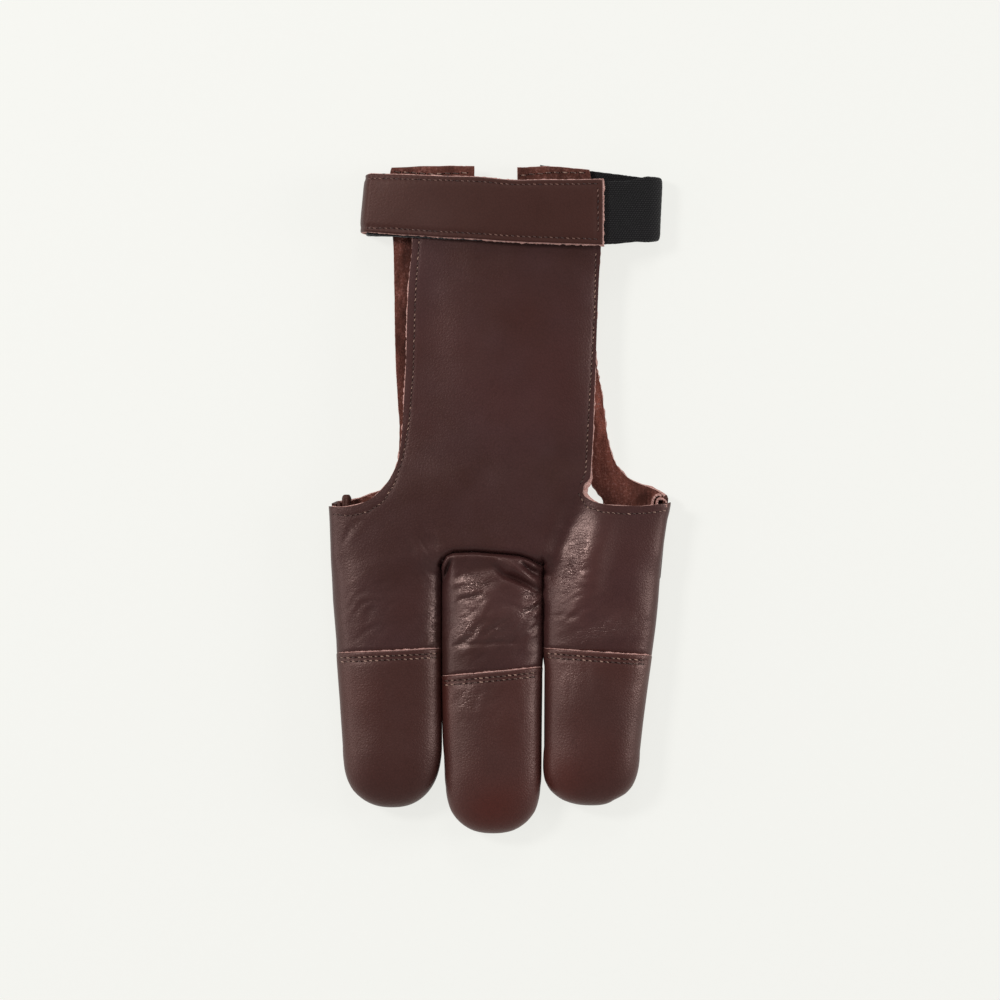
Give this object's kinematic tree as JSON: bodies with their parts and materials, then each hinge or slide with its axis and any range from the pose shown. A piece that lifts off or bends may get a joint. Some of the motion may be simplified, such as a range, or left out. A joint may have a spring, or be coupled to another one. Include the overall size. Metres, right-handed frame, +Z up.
{
  "type": "archery glove",
  "caption": "Leather finger glove for archery: open palm, hand strap, capped fingertips, and a wrist strap with an elastic side, lying flat.",
  "frame": {"origin": "bottom centre of the glove as it lies on a flat surface", "axes": "+X across the fingers, +Y from the fingertips to the wrist, +Z up out of the surface"},
  "size_m": [0.101, 0.2, 0.0163],
  "materials": {
    "front_leather": "dark brown smooth grain leather, satin",
    "cap_leather": "dark red-brown smooth leather, satin",
    "rear_leather": "dark brown leather with its suede side turned in",
    "hook_tape": "black hook tape",
    "loop_tape": "black loop tape",
    "elastic": "black woven elastic, matt"
  },
  "bodies": {
    "root": {"front_panel": "front_leather", "middle_finger_front": "front_leather", "left_fingertip_cap": "cap_leather", "middle_fingertip_cap": "cap_leather", "right_fingertip_cap": "cap_leather", "rear_panel": "rear_leather", "left_seam_allowance": "rear_leather", "right_seam_allowance": "rear_leather", "wrist_strap": "front_leather", "strap_lining": "hook_tape", "loop_patch": "loop_tape", "elastic_band": "elastic"}
  },
  "joints": []
}
